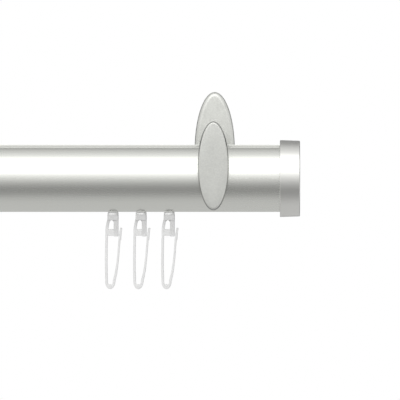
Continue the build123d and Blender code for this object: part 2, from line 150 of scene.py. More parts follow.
PLATE_ROUND = 0.85
PLATE_CROWN = 0.3
PLATE_DRAFT = 0.3
PLATE_LIP = 0.2
PLATE_RIM = 1.4
PLATE_MIDDLE = 0.03  # share of the face, as in the cap
PLATE_POCKET = (-1.0, 2.0)  # its cutter's start and end, out from the back
PLATE_SEAT = (1.6, 9.0)  # heights between which the back stays solid
PLATE_PIN = (1.6, 4.9)  # radius, height
PIN_ENDS = (0.3, -8.0)  # out from the back
PIN_STEPS = 40

# Glider, in heights from the tube's axis
WINGS = (10.0, 11.6, 1.8, 2.0, -12.45)  # length, width, thickness, corners, bottom
CROWN = (8.0, 5.0, 2.6, 0.65, 0.9)  # length, width, height, draft, corners
CROWN_SUNK = 0.35
GLIDER_EDGE = 0.3
NECK = (4.6, 3.2, 1.59, 0.05)  # length, width, corners, edge
NECK_SUNK = (0.2, 0.4)  # into the collar, into the wings
COLLAR_UP = (-15.107, -16.09)  # top, bottom
COLLAR_RADIUS = 2.4
STEM_RADIUS = 1.3
BUTTON_UP = (-17.207, -18.107)  # top, bottom
BUTTON_RADIUS = 1.7
TURNED_EDGE = 0.08
AXIS_GAP = 0.05  # radius at which a turned end is closed flat

# Hook, in heights from the tube's underside
HOOK_TOP = -1.157
HOOK_HEAD = (4.85, 5.2, 2.25, 0.6, 0.12)  # width, depth, height, corners, edge
SOCKET = (1.38, 1.85, 1.05, 0.25)  # stem's and button's radius, the stem's part, its cone
SOCKET_PAST = (0.02, 0.5)  # how far its drill goes past the head, below and above
SOCKET_STEPS = 48
WEB_DEPTH = 1.9
WEB_EDGE = 0.04
WEB_SUNK = (0.4, 0.1, 0.06)  # beside the arch, past the leg's root, into the head
ARM = (2.1, 3.2, 0.4, 0.3)  # width, depth, corners, edge
ARM_X = HOOK_HEAD[0] / 2 - ARM[0] / 2  # flush with the head's side
ARM_END = -10.65
ARM_SUNK = (0.02, 0.4)  # in from the head's side, below its top
BAND = (-10.4, -7.4)  # bottom, top
BAND_ROUND = (0.3, 0.2)  # corners, edge
EYE_ARCH = (0.95, 1.3, -0.62, -4.8)  # half width, rise, place, height
ARCH_STEPS = 17
BARB_DEPTH = 1.7
BARB_EDGE = 0.14
BARB = ((3.3, -8.4), (3.8, -8.4), (3.76, -10.0), (3.6, -12.2), (3.0, -12.2), (3.2, -10.2))
LEG_DEPTH = 2.0
LEG_ROUND = (0.3, 0.9)  # the section's radius, and its largest share of a half width
LEG_TIP = (0.4, 80, 6)  # its rounded tip: length, degrees, points
LEG_STEPS = (9, 8)  # round its turn, and between each two points of its line
# The leg's centre line, down one strand and up the other: sideways place, height, half width on
# the inner and the outer side; and its turn below: radius, centre, the widest of the halves, and
# the angles at which it starts and ends
LEG_DOWN = (
    (-1.76, -2.6, 0.55, 0.62),
    (-2.20, -4.5, 0.60, 0.64),
    (-2.58, -6.5, 0.62, 0.66),
    (-2.84, -10.6, 0.56, 0.54),
    (-2.99, -17.0, 0.58, 0.55),
    (-3.03, -24.0, 0.60, 0.55),
    (-2.94, -28.6, 0.62, 0.56),
)
LEG_TURN = (1.5, (-1.24, -31.5), (1.36, 1.0), (188, 342))
LEG_UP = (
    (0.58, -30.0, 0.60, 0.58),
    (1.22, -27.2, 0.54, 0.54),
    (1.84, -23.4, 0.47, 0.47),
    (2.34, -18.8, 0.44, 0.44),
    (2.66, -14.6, 0.44, 0.44),
    (3.06, -10.4, 0.46, 0.46),
    (3.60, -7.2, 0.48, 0.48),
)

# Painted shade and painted highlights that follow the shape: the places between which each sets in, and
# its tone
RAIL_CORNER_SHADE = (0.25, 0.55, 0.78)  # painted shade in the corner: middle above the shelf, half its height, tone
ROSETTE_PAINTED_HIGHLIGHT = ((-5.6, -4.6), (7.0, 19.0), 1.38)  # painted highlight on the upper rim: along Y, along Z, tone
PLATE_SHADE = ((-98.95, -98.6), (9.5, 1.5), 0.45)  # painted shade round the rim, except near the top: along Y, along Z, tone
PAINTED_SHADE_DEEP = (0.9, 1.7)  # where the painted shade on thick places sets in, from the hook's middle plane
PAINTED_SHADE_UP = (-8.0, -4.0)  # where the painted shade near the head sets in, heights as in the hook
PAINTED_SHADE_ARM = 0.4  # share of it at the arm's end
HOOK_PAINTED_SHADE = 0.85  # tone of the painted shade on the hook's thick places and near its head

# Finishes
ROSETTE_SHARE = 1.01  # of the paint's tone
PLATE_SHARE = 0.935
PAINT_METAL = 0.8
STEEL_ROUGHNESS = 0.3
HOOK_TONE = 0.84  # of the gliders' white
PLASTIC = (0.42, 0.25)  # roughness, translucence
PLUG = (0.55, 0.0)  # the same
PLASTIC_GLOW = 1.2 * MM

# Light and camera, in metres; the tent's tones go by the angle round the rod, from straight
# behind, under it to the front, and over it back to behind
TENT_TONES = (
    (-180, 0.05), (-166, 0.16), (-150, 0.29), (-110, 0.285), (-92, 0.285), (-80, 0.272),
    (-71, 0.252), (-60, 0.2), (-50, 0.158), (-34, 0.13), (-16, 0.22), (-2, 0.35), (10, 0.49),
    (15, 0.575), (19, 0.67), (27, 0.95), (62, 0.95), (82, 0.455), (95, 0.375), (108, 0.325),
    (120, 0.235), (130, 0.165), (148, 0.16), (160, 0.165), (180, 0.05),
)
TENT_STRENGTH = 2.0
TENT_STEPS = (64, 33)  # round it, up it
TENT_TOP = 89  # degrees up to which its rings go
TENT_ASIDE = (0.35, 0.8)  # parts of a direction along the rod between which its ends' tone sets in
TENT_BESIDE = (0.3, 0.56, 0.42, 0.0)  # that tone: its two places towards the wall and two values
KEY_SIZE = (2.2, 1.6)
KEY_BACK = (-0.5, -2.3, 0.35)
CAMERA_TARGET = (258.8 * MM, ROD_Y * MM, -22.19 * MM)
CAMERA_BACK = (0.0075, -1, 0)
SENSOR_WIDTH = 36.0  # millimetres


# Outlines and surfaces


def arc(radius, start, end, steps, centre=(0.0, 0.0)):
    """Points of centre + radius * (cos a, sin a), with a going from start to end degrees."""
    a = np.radians(np.linspace(start, end, steps))
    return np.column_stack((centre[0] + radius * np.cos(a), centre[1] + radius * np.sin(a)))


def mirrored(half):
    """A closed outline from its right half, which begins and ends on the middle line."""
    return np.concatenate((half, (half * (-1, 1))[-2:0:-1]))


def soften(outline, radius, steps=CORNER_STEPS, sharp=25.0):
    """A closed outline with its corners rounded.

    Each corner p that turns by more than sharp degrees becomes the curve
    (1-s)^2 a + 2 s (1-s) p + s^2 b, where a and b lie radius * tan(turn / 2) before and after it,
    or 0.45 of its shorter side where that is less.
    """
    before, after = np.roll(outline, 1, 0) - outline, np.roll(outline, -1, 0) - outline
    length_before, length_after = (np.linalg.norm(side, axis=1) for side in (before, after))
    before, after = before / length_before[:, None], after / length_after[:, None]
    turn = np.pi - np.arccos(np.clip((before * after).sum(1), -1, 1))
    corner = turn > np.radians(sharp)
    reach = np.minimum(radius * np.tan(turn / 2), 0.45 * np.minimum(length_before, length_after))
    reach = np.where(corner, reach, 0)[:, None, None]
    s = np.linspace(0, 1, steps)[None, :, None]
    p = outline[:, None]
    a, b = p + before[:, None] * reach, p + after[:, None] * reach
    curve = (1 - s) ** 2 * a + 2 * s * (1 - s) * p + s**2 * b
    return curve[corner[:, None] | (np.arange(steps) == 0)]


def rounded_section(steps=CORNER_STEPS):
    """A rounded rectangle as signs (n, 2) and unit arcs (n, 2), the arcs being (cos a, sin a).

    Its points are signs * (half size - radius) + arcs * radius, so both may change along a path.
    """
    a = np.radians(np.linspace(0, 90, steps))[None] + np.radians((0, 90, 180, 270))[:, None]
    signs = np.repeat(np.array(((1, 1), (-1, 1), (-1, -1), (1, -1)), float), steps, 0)
    return signs, np.column_stack((np.cos(a).ravel(), np.sin(a).ravel()))


def turns_left(outline):
    """Whether a closed outline runs anticlockwise: x y' - y x', summed over its sides, is above 0."""
    return (outline * np.roll(outline[:, ::-1], -1, 0) * (1, -1)).sum() > 0


def grid_faces(rows, columns, wrap):
    """Quads (i, j), (i, j+1), (i+1, j+1), (i+1, j) of a grid whose columns go round."""
    i, j = np.meshgrid(np.arange(rows - (not wrap)), np.arange(columns), indexing="ij")
    k, m = (i + 1) % rows, (j + 1) % columns
    corners = (i * columns + j, i * columns + m, k * columns + m, k * columns + j)
    return np.stack(corners, -1).reshape(-1, 4)


def solid(points, faces):
    """A mesh in metres from points in millimetres, turned so that its faces point outwards."""
    mesh = bpy.data.meshes.new("surface")
    mesh.from_pydata((points * MM).tolist(), [], faces)
    shape = bmesh.new()
    shape.from_mesh(mesh)
    if shape.calc_volume(signed=True) < 0:
        bmesh.ops.reverse_faces(shape, faces=shape.faces)
        shape.to_mesh(mesh)
    shape.free()
    return mesh


def shell(rings, wrap=False):
    """A closed surface through rings (rows, columns, 3), with its end rings filled unless they wrap."""
    rows, columns = rings.shape[:2]
    faces = grid_faces(rows, columns, wrap).tolist()
    if not wrap:
        faces.append(list(range(columns))[::-1])
        faces.append(list(range((rows - 1) * columns, rows * columns)))
    return solid(rings.reshape(-1, 3), faces)


def eased_ends(length, radius, steps=CORNER_STEPS):
    """Stations along a block: place radius (1 - cos a) and inset radius (1 - sin a), and mirrored."""
    a = np.radians(np.linspace(0, 90, steps))
    place, inset = radius * (1 - np.cos(a)), radius * (1 - np.sin(a))
    return np.concatenate((place, length - place[::-1])), np.concatenate((inset, inset[::-1]))


def block(centre, sizes, corner, edge, draft=0.0, stretch=1.0):
    """An upright block with rounded corners: its outline, drawn in by the eased ends' inset and by
    draft * height / whole height, at its heights times stretch."""
    (x, y, low), (width, depth, height) = centre, sizes
    place, inset = eased_ends(height, edge)
    inset = inset + draft * place / height
    signs, arcs = rounded_section()
    half = np.array((width, depth)) / 2 - corner
    flat = np.array((x, y)) + signs * half + arcs * (corner - inset)[:, None, None]
    up = np.broadcast_to((low + place * stretch)[:, None, None], flat.shape[:2] + (1,))
    return shell(np.concatenate((flat, up), 2))


def slab(outline, depth, edge, steps=4):
    """A hook's flat part: an outline (x, height under the tube) with its rim rounded over.

    Each row is the outline less inset * (n + m) / (1 + n.m), with n and m the unit normals of the
    two sides that meet at a corner.
    """
    place, inset = eased_ends(depth, edge, steps)
    along = outline - np.roll(outline, 1, 0)
    normal = np.column_stack((along[:, 1], -along[:, 0])) / np.linalg.norm(along, axis=1)[:, None]
    corner = (normal + np.roll(normal, -1, 0)) * (1 if turns_left(outline) else -1)
    corner /= (corner**2).sum(1)[:, None] / 2
    rows = outline - inset[:, None, None] * corner
    return shell(facing(rows, (-ROD_Y - depth / 2 + place)[:, None]) + (0, 0, TUBE_BOTTOM))


def spun(profile, centre, steps=ROUND_STEPS):
    """An upright turned shape: radius * (cos a, sin a) round centre at each height of the profile."""
    a = np.radians(np.linspace(0, 360, steps, endpoint=False))
    radius, height = profile[:, 0, None], profile[:, 1, None]
    x, y = centre[0] + radius * np.cos(a), centre[1] + radius * np.sin(a)
    return shell(np.stack((x, y, np.broadcast_to(height, x.shape)), -1))


def spline(points, steps):
    """A smooth line through points: (2 t^3 - 3 t^2 + 1) p + (t^3 - 2 t^2 + t) h m between each two
    neighbours, and the same from the other end, with h their distance.

    The slope m at a point is the mean of those of the chords beside it, weighted by the other's length.
    """
    chord = np.diff(points, axis=0)
    length = np.linalg.norm(chord[:, :2], axis=1)[:, None]
    slope = chord / length
    inner = (slope[:-1] * length[1:] + slope[1:] * length[:-1]) / (length[1:] + length[:-1])
    slope = np.concatenate((slope[:1], inner, slope[-1:]))[:, None]
    t = np.linspace(0, 1, steps, endpoint=False)[None, :, None]
    p, q, h = points[:-1, None], points[1:, None], length[:, None]
    line = (2 * t**3 - 3 * t**2 + 1) * p + (t**3 - 2 * t**2 + t) * h * slope[:-1]
    line = line + (3 * t**2 - 2 * t**3) * q + (t**3 - t**2) * h * slope[1:]
    return np.concatenate((line.reshape(-1, points.shape[1]), points[-1:]))


def ellipse(half, inset, angles):
    """An ellipse drawn in by inset: (a cos t, b sin t) less inset times its own unit normal."""
    a, b = half
    around = np.column_stack((a * np.cos(angles), b * np.sin(angles)))
    normal = np.column_stack((b * np.cos(angles), a * np.sin(angles)))
    return around - inset * normal / np.linalg.norm(normal, axis=1)[:, None]


def facing(flat, out):
    """Points (x, z) of an outline that faces the room, at a distance out from the wall."""
    out = np.broadcast_to(out, flat.shape[:-1])
    return np.stack((flat[..., 0], -out, flat[..., 1]), -1)


def add_object(name, data):
    """A new object in the scene."""
    made = bpy.data.objects.new(name, data)
    bpy.context.scene.collection.objects.link(made)
    return made


def aim(thing, target, back):
    """Puts a lamp or a camera at target + back, facing the target and upright."""
    thing.location = target + back
    thing.rotation_mode = "QUATERNION"
    thing.rotation_quaternion = (-back).to_track_quat("-Z", "Y")


def joined(base, added=(), cut=()):
    """One mesh: the base with the added solids united with it and the cutters taken away."""
    body = add_object("base", base)
    helpers = [body]
    for operation, meshes in (("UNION", added), ("DIFFERENCE", cut)):
        for mesh in meshes:
            tool = add_object("tool", mesh)
            helpers.append(tool)
            step = body.modifiers.new(operation, "BOOLEAN")
            step.operation, step.solver, step.object = operation, "EXACT", tool
    graph = bpy.context.evaluated_depsgraph_get()
    mesh = bpy.data.meshes.new_from_object(body.evaluated_get(graph))
    for helper in helpers:
        bpy.data.objects.remove(helper)
    if not mesh.polygons:
        raise RuntimeError("uniting or cutting solids left nothing")
    return mesh


def place_piece(mesh, node, material, x=0.0, name=None):
    """Adds a finished piece that stands for a node, moved along the rod by x."""
    name = name or f"{node}_surface"
    mesh = mesh.copy()
    mesh.name = name
    mesh.transform(Matrix.Translation((x * MM, 0, 0)))
    mesh.materials.clear()
    mesh.materials.append(finish(material))
    mesh.polygons.foreach_set("use_smooth", np.ones(len(mesh.polygons), bool))
    mesh.polygons.foreach_set("material_index", np.zeros(len(mesh.polygons), np.int32))
    mesh.set_sharp_from_angle(angle=radians(SMOOTH_ANGLE))
    piece = add_object(name, mesh)
    even = piece.modifiers.new("Even shading", "WEIGHTED_NORMAL")
    even.keep_sharp = True
    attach(piece, frame["nodes"][node]["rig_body"])
    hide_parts(node)
    return piece


def node_x(node):
    """The middle of a node along the rod, in millimetres."""
    low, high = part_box(node)
    return (low.x + high.x) / 2 / MM


# Shapes of the pieces


def tube_outlines():
    """The extrusion's outer and inner outline, mirrored from their right halves.

    The outer one goes round the groove, the rail, the tube's circle and the runner channel; the
    inner one is a smaller circle, notched above and below by the blocks of groove and channel.
    """
    floor_up, roof_up, groove_half, mouth_half = GROOVE
    ledge_up, channel_up, channel_half = CHANNEL
    shelf_half = sqrt(TUBE_RADIUS**2 - SHELF_UP**2)
    slot_up = -sqrt(TUBE_RADIUS**2 - SLOT_HALF**2)
    start, end = np.degrees(np.arctan2((SHELF_UP, slot_up), (shelf_half, SLOT_HALF)))
    outer = np.concatenate((
        ((0, floor_up), (groove_half, floor_up), (groove_half, roof_up), (mouth_half, roof_up)),
        ((mouth_half, TUBE_RADIUS), (RAIL_HALF, TUBE_RADIUS), (RAIL_HALF, SHELF_UP)),
        arc(TUBE_RADIUS, start, end, ARC_STEPS),
        ((SLOT_HALF, ledge_up), (channel_half, ledge_up), (channel_half, channel_up)),
        ((0, channel_up),),
    ))
    bore = TUBE_RADIUS - TUBE_WALL
    upper, lower = groove_half + WEB, channel_half + WEB
    start = np.degrees(np.arccos(upper / bore))
    end = -np.degrees(np.arccos(lower / bore))
    inner = np.concatenate((
        ((0, floor_up - WEB), (upper, floor_up - WEB)),
        arc(bore, start, end, ARC_STEPS // 2),
        ((lower, channel_up + WEB), (0, channel_up + WEB)),
    ))
    return [soften(mirrored(half), TUBE_EDGE) for half in (outer, inner)]


def tube_mesh():
    """The extrusion: both outlines (y, z) at each station x along the rod, joined by quads, and
    each end filled with triangles between the two."""
    loops = tube_outlines()
    stations = np.linspace(-TUBE_END, TUBE_END, TUBE_STATIONS)
    points, faces, first = [], [], 0
    for loop in loops:
        rows = np.broadcast_to(loop, (len(stations),) + loop.shape)
        x = np.broadcast_to(stations[:, None, None], rows.shape[:2] + (1,))
        points.append(np.concatenate((x, rows), 2).reshape(-1, 3))
        quads = grid_faces(len(stations), len(loop), False) + first
        faces += (quads if loop is loops[0] else quads[:, ::-1]).tolist()
        first += len(points[-1])
    ends = np.array(tessellate_polygon([[Vector((*p, 0)) for p in loop] for loop in loops]))
    sizes = np.array([len(loop) for loop in loops])
    of_inner = ends >= sizes[0]
    near = ends + of_inner * (len(points[0]) - sizes[0])
    far = near + np.where(of_inner, sizes[1], sizes[0]) * (len(stations) - 1)
    flat = np.concatenate(loops)
    a, b, c = (flat[ends[:, i]] for i in range(3))
    left = (b - a)[:, 0] * (c - a)[:, 1] > (b - a)[:, 1] * (c - a)[:, 0]
    as_is = (left == turns_left(loops[0]))[:, None]
    faces += np.where(as_is, near, near[:, ::-1]).tolist()
    faces += np.where(as_is, far[:, ::-1], far).tolist()
    return solid(np.concatenate(points) + (0, ROD_Y, ROD_Z), faces)


def cap_profile():
    """The cap's outside, as radius and place beyond the rim: the domed end face, the rounded
    shoulder, the tapered side and the lip.

    The face lies dome * share^2 behind its middle, share being the part of the way to its edge.
    """
    shoulder_x, shoulder_r = CAP_SHOULDER
    length = CAP_FACE - CAP_RIM
    face_radius = CAP_RADIUS - CAP_TAPER
    edge = face_radius - shoulder_r
    share = np.linspace(CAP_MIDDLE, 1, FACE_STEPS)[:-1]
    dome = np.column_stack((edge * share, length - CAP_DOME * share**2))
    a = np.radians(np.linspace(90, 0, EDGE_STEPS))
    start = length - CAP_DOME - shoulder_x
    shoulder = np.column_stack((edge + shoulder_r * np.cos(a), start + shoulder_x * np.sin(a)))
    t = np.linspace(0, 1, CAP_SIDE_STEPS)[1:-1]
    side = np.column_stack((face_radius + CAP_TAPER * t, start * (1 - t) + CAP_LIP * t))
    lip = arc(CAP_LIP, 0, -90, CAP_LIP_STEPS, (CAP_RADIUS - CAP_LIP, CAP_LIP))
    return np.concatenate((dome, shoulder, side, lip))


def bore_radii(around):
    """The bore's radius at each angle a from straight up: a circle's, or that of the rail's square
    outline where it reaches further, height / cos a over the rail and half width / sin a beside it."""
    up, across = np.cos(around), abs(np.sin(around))
    bore = np.full(len(around), CAP_BORE)
    over = (up > 0) & (across * CAP_BORE < CAP_BORE_RAIL * up)
    beside = (up > 0) & ~over & (across * CAP_BORE < CAP_BORE_RAIL)
    bore[over] = CAP_BORE / up[over]
    bore[beside] = CAP_BORE_RAIL / across[beside]
    return bore


def cap_mesh(outwards):
    """The end cap: rings (r sin a, r cos a) round the rod's axis, from the middle of the end face
    over the outside to the rim, and back down the bore to the middle of its floor."""
    outer = cap_profile()
    around = np.radians(np.linspace(0, 360, CAP_STEPS, endpoint=False))
    bore = bore_radii(around)
    depth = CAP_FACE - CAP_FLOOR - CAP_RIM
    inner_radii = [bore + CAP_LIP / 2, bore] + [bore * share for share in FLOOR_SHARES]
    inner_places = [0.0, CAP_LIP / 2] + [depth] * len(FLOOR_SHARES)
    radii = np.concatenate((np.broadcast_to(outer[:, :1], (len(outer), len(around))), inner_radii))
    places = np.concatenate((outer[:, 1], inner_places))
    x = outwards * (CAP_RIM + np.broadcast_to(places[:, None], radii.shape))
    y, z = ROD_Y + radii * np.sin(around), ROD_Z + radii * np.cos(around)
    return shell(np.stack((x, y, z), -1))


def arm_hole(rim):
    """The rosette's hole for the arm, with a point towards each of the rim's.

    It is the superellipse (cos t / p)^n + (sin t / q)^n = 1 / r^n, with one power n over the arm's
    rounded top and a higher one round its lower half.
    """
    middle_up, p, q = ARM_HOLE
    t = np.arctan2(rim[:, 1] - middle_up, rim[:, 0])
    n = np.where(np.sin(t) > 0, *ARM_HOLE_POWERS)
    r = ((abs(np.cos(t)) / p) ** n + (abs(np.sin(t)) / q) ** n) ** (-1 / n)
    return np.column_stack((r * np.cos(t), middle_up + r * np.sin(t)))


def rosette_front(flat):
    """How far out the rosette's front lies at (x, z): depth - crown * (x^2 / a^2 + z^2 / b^2)."""
    share = ((flat / ROSETTE_HALF) ** 2).sum(-1)
    return ROSETTE_DEPTH - ROSETTE_CROWN * share


def rosette_mesh():
    """The rosette: rings of an ellipse drawn in step by step, from the wall up the outer side,
    over the rounded edge and the crowned front to the arm's hole, and back inside to the wall."""
    t = np.radians(np.linspace(0, 360, OVAL_STEPS, endpoint=False))
    rim = ellipse(ROSETTE_HALF, 0, t)
    hole = arm_hole(rim)
    flat_edge = ellipse(ROSETTE_HALF, ROSETTE_ROUND, t)
    edge_steps, front_steps = ROSETTE_STEPS
    a = np.radians(np.linspace(0, 90, edge_steps))[:-1]
    foot_in, foot_out = ROSETTE_FOOT
    rings = [facing(ellipse(ROSETTE_HALF, foot_in, t), 0.0), facing(rim, foot_out)]
    for inset, rise in zip(ROSETTE_ROUND * (1 - np.cos(a)), ROSETTE_ROUND * (1 - np.sin(a))):
        rings.append(facing(ellipse(ROSETTE_HALF, inset, t), rosette_front(flat_edge) - rise))
    for share in np.linspace(0, 1, front_steps)[:-1]:
        flat = flat_edge * (1 - share) + hole * share
        rings.append(facing(flat, rosette_front(flat)))
    flare, flare_depth = ARM_HOLE_FLARE
    rings.append(facing(hole + (hole - (0, ARM_HOLE[0])) * flare, rosette_front(hole)))
    rings.append(facing(hole, rosette_front(hole) - flare_depth))
    ceiling = ROSETTE_DEPTH - ROSETTE_FRONT
    inner = ellipse(ROSETTE_HALF, ROSETTE_WALL, t)
    rings += [facing(hole, ceiling), facing(inner, ceiling), facing(inner, 0.0)]
    boss_half, boss_low, boss_high = BOSS
    boss_size = (2 * boss_half, ceiling, boss_high - boss_low)
    boss = block((0, -ceiling / 2, boss_low), boss_size, *BOSS_ROUND)
    radius, hole_y = GRUB_HOLE
    below, above = GRUB_PAST
    through = np.array(((radius, boss_low - below), (radius, boss_high + above)))
    drill = spun(through, (0, hole_y), GRUB_STEPS)
    return joined(shell(np.array(rings), wrap=True), added=[boss], cut=[drill])


def plate_block(outline, ends):
    """An outline (x, height) carried along Y, between two distances out from the plate's back."""
    return shell(np.array([facing(outline, PLATE_BACK + out) for out in ends]))


def plate_mesh():
    """The front plate: rings of an ellipse from the middle of its crowned face over its rounded
    edge and the side to its back, with two pockets behind and the pin that enters the arm.

    The face lies crown * share^4 below its middle, share being the part of the way to its edge.
    """
    t = np.radians(np.linspace(0, 360, OVAL_STEPS, endpoint=False))
    middle = np.array((0.0, PLATE_UP))
    face = PLATE_BACK + PLATE_THICKNESS

    def ring(inset, out):
        """The plate's ellipse drawn in by inset, at a distance out from the wall."""
        return facing(ellipse(PLATE_HALF, inset, t) + middle, out)

    edge = ellipse(PLATE_HALF, PLATE_DRAFT + PLATE_ROUND, t)
    rings = []
    for share in np.linspace(PLATE_MIDDLE, 1, FACE_STEPS)[:-1]:
        rings.append(facing(edge * share + middle, face - PLATE_CROWN * share**4))
    a = np.radians(np.linspace(90, 0, EDGE_STEPS))
    top = face - PLATE_CROWN - PLATE_ROUND
    for drawn, rise in zip(PLATE_ROUND * (1 - np.cos(a)), PLATE_ROUND * np.sin(a)):
        rings.append(ring(PLATE_DRAFT + drawn, top + rise))
    rings += [ring(0, PLATE_BACK + PLATE_LIP), ring(PLATE_LIP, PLATE_BACK)]
    plate = shell(np.array(rings))
    rim = ellipse(PLATE_HALF, PLATE_RIM, t) + middle
    radius, up = PLATE_PIN
    pin = plate_block(arc(radius, 0, 360, PIN_STEPS + 1, (0, up))[:-1], PIN_ENDS)
    pockets = []
    for kept in (rim[:, 1] < PLATE_SEAT[0], rim[:, 1] > PLATE_SEAT[1]):
        x, z = rim[kept].T
        in_turn = np.argsort(np.arctan2(z - z.mean(), x))
        pockets.append(plate_block(rim[kept][in_turn], PLATE_POCKET))
    return joined(plate, added=[pin], cut=pockets)


def disc_edge(radius, ends):
    """A turned disc's outline from its top round both rims to its bottom."""
    top, bottom = ends
    middle = radius - TURNED_EDGE
    upper = arc(TURNED_EDGE, 90, 0, CORNER_STEPS, (middle, top - TURNED_EDGE))
    lower = arc(TURNED_EDGE, 0, -90, CORNER_STEPS, (middle, bottom + TURNED_EDGE))
    return np.concatenate((upper, lower))


def glider_mesh():
    """The glider: the wings' block, the tapered crown on it, the neck through the slot, and the
    turned collar, stem and button below."""
    length, width, thickness, corner, low_up = WINGS
    wings = block((0, ROD_Y, ROD_Z + low_up), (length, width, thickness), corner, GLIDER_EDGE)
    length, width, height, draft, corner = CROWN
    crown_place = (0, ROD_Y, ROD_Z + low_up + thickness - CROWN_SUNK)
    crown_size, stretch = (length, width, height), (height + CROWN_SUNK) / height
    crown = block(crown_place, crown_size, corner, GLIDER_EDGE, draft, stretch)
    length, width, corner, edge = NECK
    neck_low, neck_high = COLLAR_UP[0] - NECK_SUNK[0], low_up + NECK_SUNK[1]
    neck_size = (length, width, neck_high - neck_low)
    neck = block((0, ROD_Y, ROD_Z + neck_low), neck_size, corner, edge)
    turned = np.concatenate((
        ((AXIS_GAP, COLLAR_UP[0]),),
        disc_edge(COLLAR_RADIUS, COLLAR_UP),
        ((STEM_RADIUS, COLLAR_UP[1]), (STEM_RADIUS, BUTTON_UP[0])),
        disc_edge(BUTTON_RADIUS, BUTTON_UP),
        ((AXIS_GAP, BUTTON_UP[1]),),
    ))
    spindle = spun(turned + (0, ROD_Z), (0, ROD_Y))
    return joined(wings, added=[crown, neck, spindle])


def leg_path():
    """The leg's smooth middle line (x, height), with its half widths on both sides.

    The turn below is an arc. Its half widths are w (1 - p) + v p, with w those of the strand that
    comes down, v the widest and p the fourth power of its depth below its centre over its radius.
    """
    radius, middle, widest, ends = LEG_TURN
    turn_steps, line_steps = LEG_STEPS
    turn = arc(radius, *ends, turn_steps, middle)
    low = ((middle[1] - turn[:, 1:]) / radius) ** 4
    halves = np.array(LEG_DOWN[-1][2:]) * (1 - low) + np.array(widest) * low
    below = np.concatenate((turn, halves), 1)
    return spline(np.concatenate((LEG_DOWN, below, LEG_UP)), line_steps)


def leg_mesh():
    """The hook's leg: a rounded section carried along its path, out = s (w - r) + r cos a across
    it and s (d - r) + r sin a in depth, and drawn in over a short rounded tip."""
    line = leg_path()
    centre, halves = line[:, :2], line[:, 2:]
    along = np.gradient(centre, axis=0)
    along /= np.linalg.norm(along, axis=1)[:, None]
    tip, tip_turn, tip_steps = LEG_TIP
    a = np.radians(np.linspace(0, tip_turn, tip_steps))[1:]
    centre = np.concatenate((centre, centre[-1] + along[-1] * tip * np.sin(a)[:, None]))
    along = np.concatenate((along, np.repeat(along[-1:], len(a), 0)))
    inset = np.concatenate((np.zeros(len(line)), tip * (1 - np.cos(a))))[:, None]
    halves = np.concatenate((halves, np.repeat(halves[-1:], len(a), 0))) - inset
    radius, share = LEG_ROUND
    radius = np.minimum(radius, share * halves.min(1))[:, None]
    signs, arcs = rounded_section()
    half = np.where(signs[:, 0] > 0, halves[:, :1], halves[:, 1:])
    across = signs[:, 0] * (half - radius) + arcs[:, 0] * radius
    deep = signs[:, 1] * (LEG_DEPTH / 2 - inset - radius) + arcs[:, 1] * radius
    x = centre[:, :1] - along[:, 1:] * across
    z = centre[:, 1:] + along[:, :1] * across
    return shell(np.stack((x, ROD_Y + deep, TUBE_BOTTOM + z), -1))


def web_mesh():
    """The thin web between the hook's head and its eye, over the half ellipse (a cos t, b sin t)."""
    half_width, rise, arch_x, arch_up = EYE_ARCH
    t = np.radians(np.linspace(0, 180, ARCH_STEPS))
    arch = np.column_stack((arch_x + half_width * np.cos(t), arch_up + rise * np.sin(t)))
    beside, past, sunk = WEB_SUNK
    top = HOOK_TOP - HOOK_HEAD[2] + sunk
    left_side = ((arch_x - half_width - beside, arch_up), (LEG_DOWN[0][0] - past, top))
    right_side = ((ARM_X, top), (ARM_X, arch_up))
    return slab(np.concatenate((arch, left_side, right_side)), WEB_DEPTH, WEB_EDGE)


def hook_mesh():
    """The pleat hook: its head, leg, arm, band and barb, less the snap socket, and its web."""
    width, depth, height, corner, edge = HOOK_HEAD
    top, bottom = TUBE_BOTTOM + HOOK_TOP, TUBE_BOTTOM + HOOK_TOP - height
    head = block((0, ROD_Y, bottom), (width, depth, height), corner, edge)
    arm_width, arm_depth, corner, edge = ARM
    arm_size = (arm_width, arm_depth, HOOK_TOP - ARM_SUNK[1] - ARM_END)
    arm = block((ARM_X - ARM_SUNK[0], ROD_Y, TUBE_BOTTOM + ARM_END), arm_size, corner, edge)
    low, high = BAND
    left, right = LEG_DOWN[2][0], ARM_X
    band_place = ((left + right) / 2, ROD_Y, TUBE_BOTTOM + low)
    band = block(band_place, (right - left, WEB_DEPTH, high - low), *BAND_ROUND)
    barb = slab(np.array(BARB), BARB_DEPTH, BARB_EDGE)
    stem_radius, button_radius, stem_depth, cone = SOCKET
    below, above = SOCKET_PAST
    socket = np.array((
        (button_radius, bottom - below),
        (button_radius, top - stem_depth - cone),
        (stem_radius, top - stem_depth),
        (stem_radius, top + above),
    ))
    drill = spun(socket, (0, ROD_Y), SOCKET_STEPS)
    body = joined(head, added=[leg_mesh(), arm, band, barb], cut=[drill])
    return joined(body, added=[web_mesh()])


# Shader maths and finishes


class Link:
    """An output socket; arithmetic on it adds Math nodes to its tree."""

    def __init__(self, tree, socket):
        self.tree, self.socket = tree, socket

    def __add__(self, other):
        return self.tree.math("ADD", self, other)

    def __sub__(self, other):
        return self.tree.math("SUBTRACT", self, other)

    def __rsub__(self, other):
        return self.tree.math("SUBTRACT", other, self)

    def __mul__(self, other):
        return self.tree.math("MULTIPLY", self, other)

    def __truediv__(self, other):
        return self.tree.math("DIVIDE", self, other)

    __radd__, __rmul__ = __add__, __mul__


